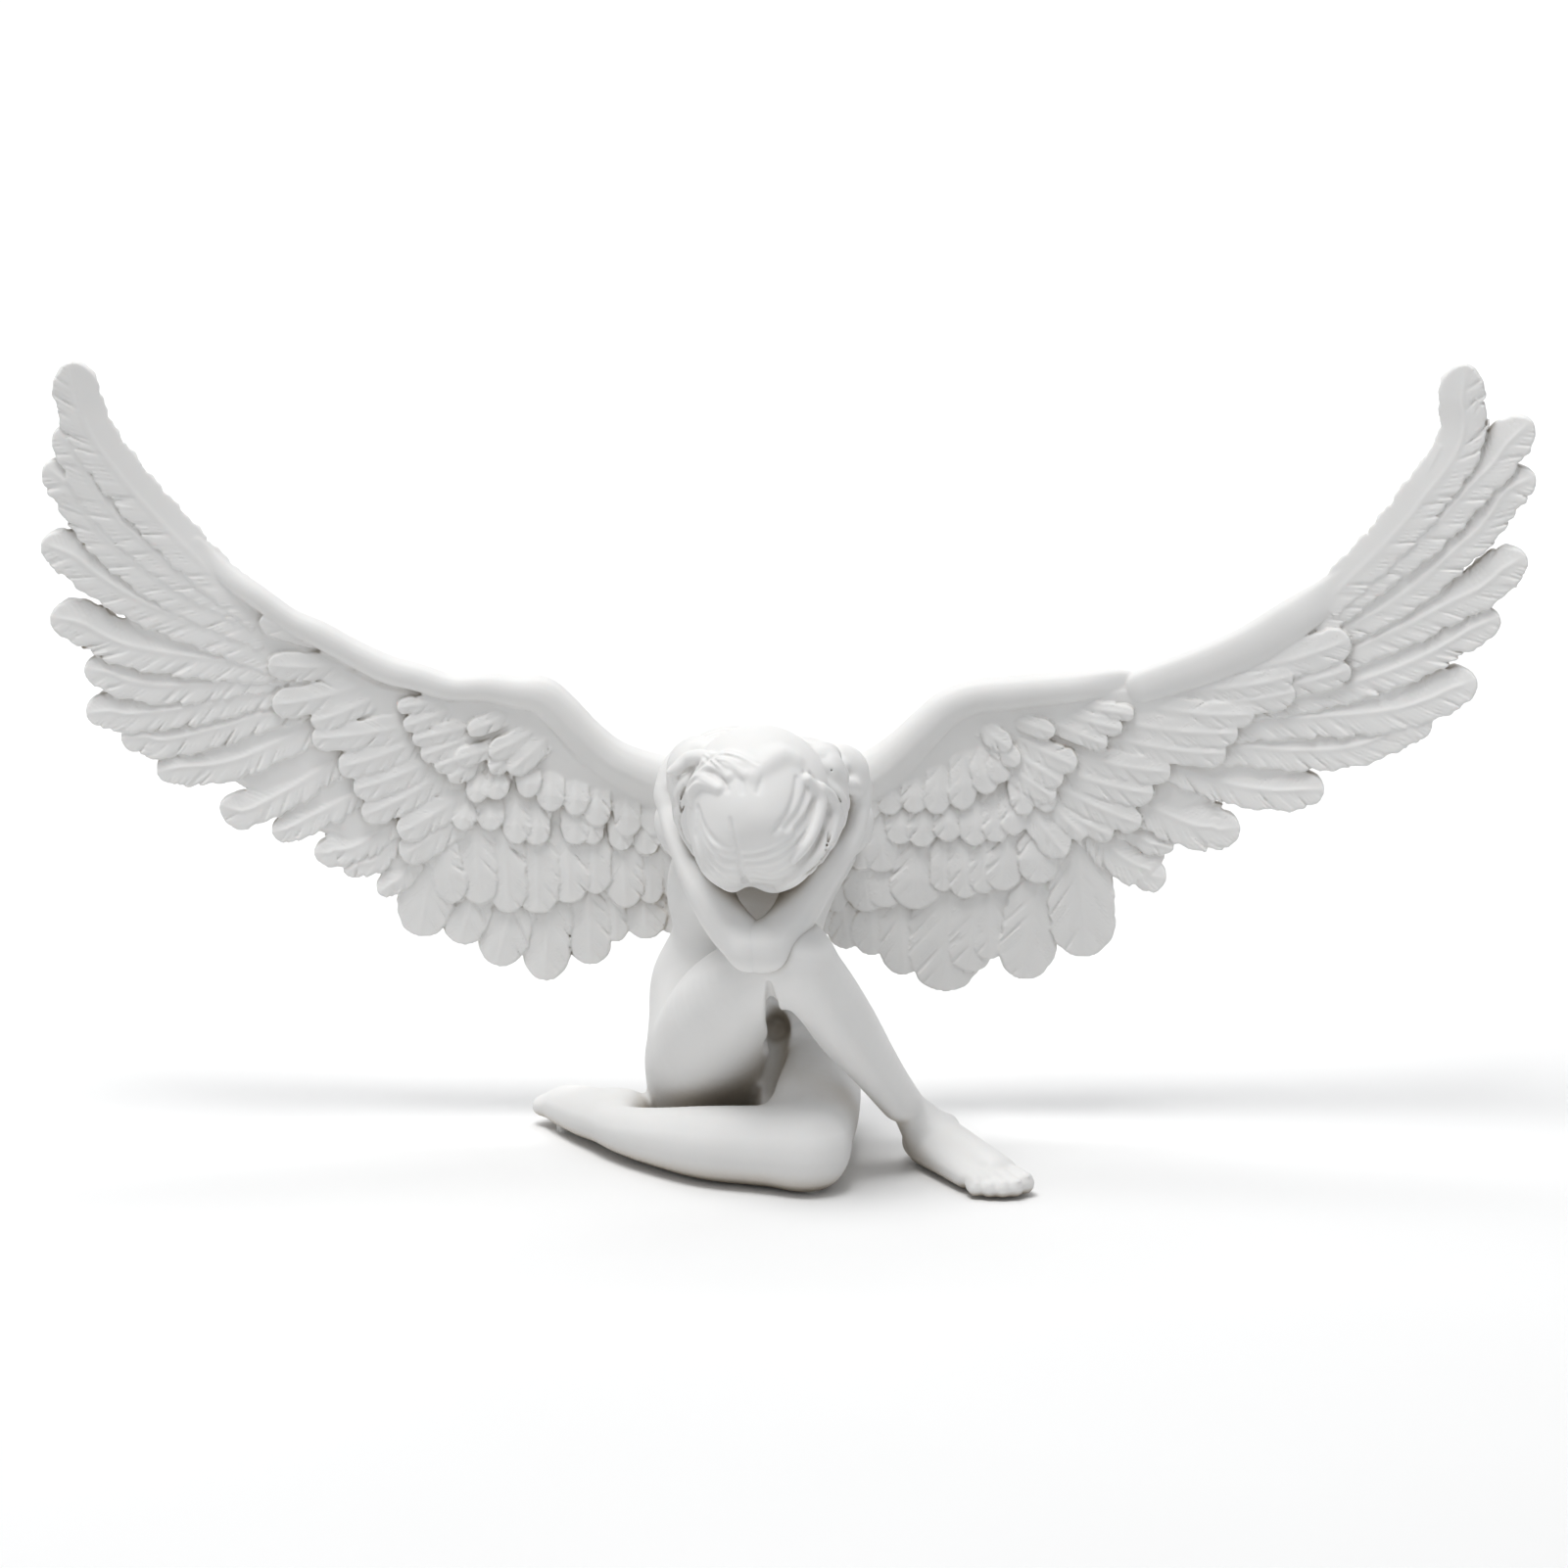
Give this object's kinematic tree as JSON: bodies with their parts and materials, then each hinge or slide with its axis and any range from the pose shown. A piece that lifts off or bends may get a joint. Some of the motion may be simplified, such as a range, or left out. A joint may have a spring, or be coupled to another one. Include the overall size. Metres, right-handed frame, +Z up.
{
  "type": "winged figurine",
  "caption": "Seated, bowed angel figurine in matte resin with two wide feathered wings that plug into its back.",
  "frame": {"origin": "centre of the underside of the seat pad, on the table", "axes": "+X to the viewer's right along the wing span, +Y towards the back of the figure, +Z up"},
  "size_m": [0.3067, 0.0744, 0.1641],
  "materials": {
    "resin": "matt white cast polyresin with soft shading in the recesses",
    "steel": "plain drawn steel",
    "rubber": "matt black rubber"
  },
  "bodies": {
    "figure": {"body_casting": "resin", "head_casting": "resin", "right_arm_casting": "resin", "left_arm_casting": "resin", "neck_dowel": "steel", "shoulder_dowels": "steel", "foot_pads": "rubber"},
    "right_wing": {"right_wing_casting": "resin", "right_wing_peg": "steel", "right_wing_locating_pin": "steel"},
    "left_wing": {"left_wing_casting": "resin", "left_wing_peg": "steel", "left_wing_locating_pin": "steel"}
  },
  "joints": [
    {"name": "right_wing_plug", "type": "slide", "parent": "figure", "child": "right_wing", "axis": [-0.342, 0.9397, 0], "range_m": [0, 0.018]},
    {"name": "left_wing_plug", "type": "slide", "parent": "figure", "child": "left_wing", "axis": [0.342, 0.9397, 0], "range_m": [0, 0.018]}
  ]
}
